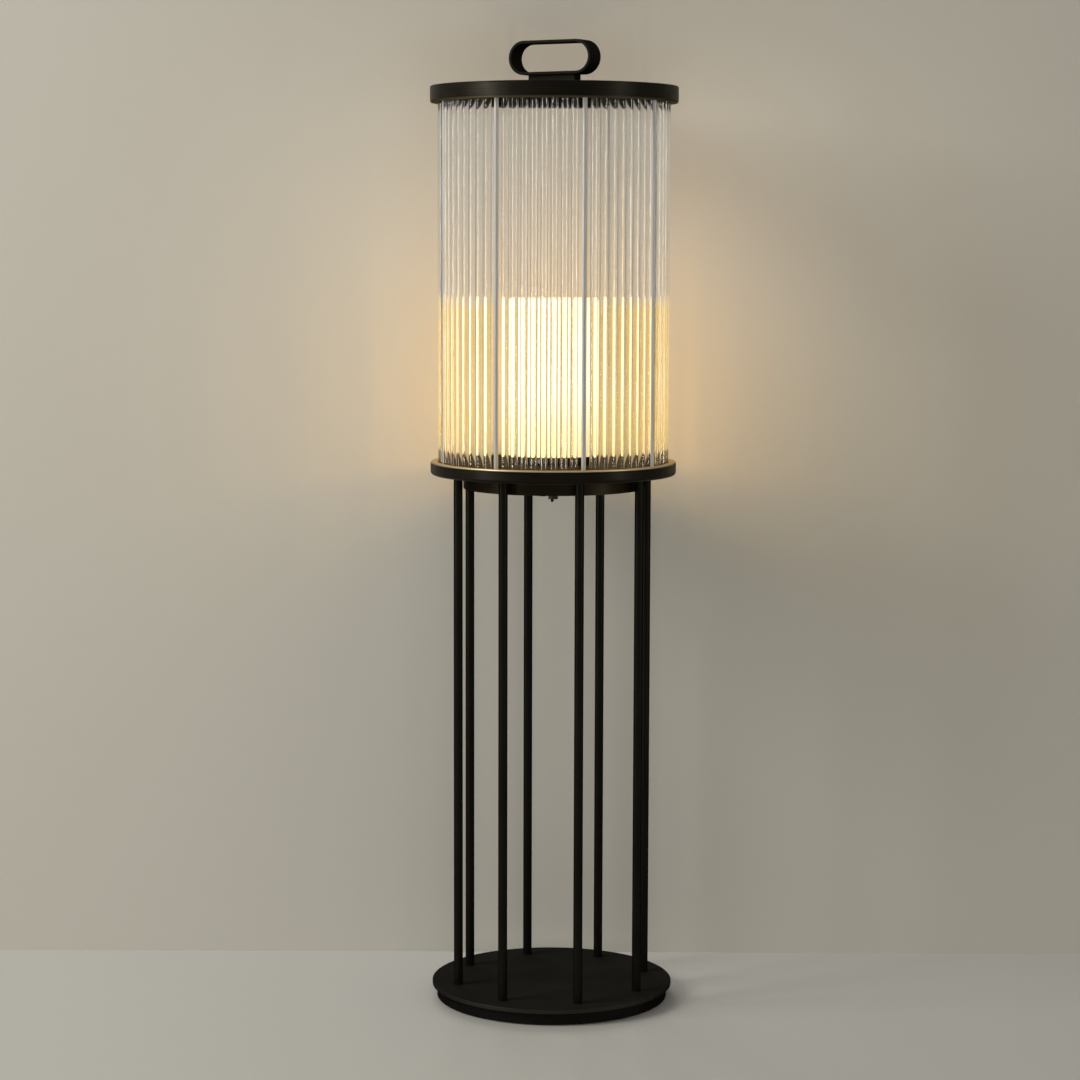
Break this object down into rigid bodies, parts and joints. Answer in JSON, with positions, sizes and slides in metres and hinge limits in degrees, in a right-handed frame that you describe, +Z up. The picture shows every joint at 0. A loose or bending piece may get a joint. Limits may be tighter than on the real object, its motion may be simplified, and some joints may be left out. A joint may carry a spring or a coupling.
{
  "type": "lantern floor lamp",
  "caption": "Floor lamp: a lit opal cylinder in a round cage of clear glass rods, under a capped top with a strap handle, raised on slim tube legs over a flat round base.",
  "frame": {"origin": "centre of the base's underside, on the floor", "axes": "+Z up along the lamp; the handle's loop runs along X; a leg stands towards -Y"},
  "size_m": [0.3, 0.3, 1.175],
  "materials": {
    "black_metal": "satin black powder coat",
    "cast_weight": "satin black painted casting",
    "brass_trim": "satin brushed",
    "steel": "satin",
    "nickel": "polished nickel plate",
    "clear_glass": "polished clear",
    "opal": "satin opal, glowing when lit",
    "bulb_opal": "satin opal, glowing when lit",
    "pad": "matt foam rubber",
    "black_plastic": "matt moulded",
    "white_plastic": "matt moulded",
    "ceramic_white": "unglazed fired",
    "contact_brass": "bright stamped",
    "wire_brown": "smooth insulation",
    "wire_blue": "smooth insulation",
    "wire_green": "smooth insulation"
  },
  "bodies": {
    "lamp": {"base_pad": "pad", "base_weight": "cast_weight", "base_plate": "black_metal", "leg_1": "black_metal", "leg_2": "black_metal", "leg_3": "black_metal", "leg_4": "black_metal", "leg_5": "black_metal", "leg_6": "black_metal", "leg_7": "black_metal", "leg_8": "black_metal", "leg_plugs": "steel", "leg_foot_bolts": "steel", "leg_head_bolts": "steel", "tray": "black_metal", "drum": "black_metal", "drum_screws": "black_metal", "lower_rod_plate": "black_metal", "lower_trim_ring": "brass_trim", "glass_rods_1": "clear_glass", "glass_rods_2": "clear_glass", "glass_rods_3": "clear_glass", "glass_rods_4": "clear_glass", "glass_rods_5": "clear_glass", "glass_rods_6": "clear_glass", "glass_rods_7": "clear_glass", "glass_rods_8": "clear_glass", "cage_posts": "steel", "post_nuts": "steel", "upper_rod_plate": "black_metal", "upper_trim_ring": "brass_trim", "cap_shell": "black_metal", "cap_screws": "black_metal", "handle_block": "black_metal", "handle_strap": "black_metal", "handle_bolts": "black_metal", "handle_nuts": "steel", "diffuser_collar": "black_metal", "diffuser": "opal", "diffuser_screws": "steel", "nipple": "steel", "nipple_nuts": "steel", "lampholder_cap": "black_plastic", "lampholder_sleeve": "black_plastic", "lampholder_core": "ceramic_white", "lampholder_contacts": "contact_brass", "bulb_cap": "nickel", "bulb_housing": "white_plastic", "bulb_led_board": "white_plastic", "bulb_dome": "bulb_opal", "switch_body": "black_plastic", "switch_nut": "black_metal", "cord_gland": "black_plastic", "gland_nut": "black_plastic", "terminal_block": "white_plastic", "wire_live": "wire_brown", "wire_neutral": "wire_blue", "wire_earth": "wire_green"},
    "lever": {"switch_lever": "black_metal"}
  },
  "joints": [
    {"name": "switch_toggle", "type": "hinge", "parent": "lamp", "child": "lever", "pos_m": [0, 0, 0.625], "axis": [0, -1, 0], "range_deg": [0, 24]}
  ]
}
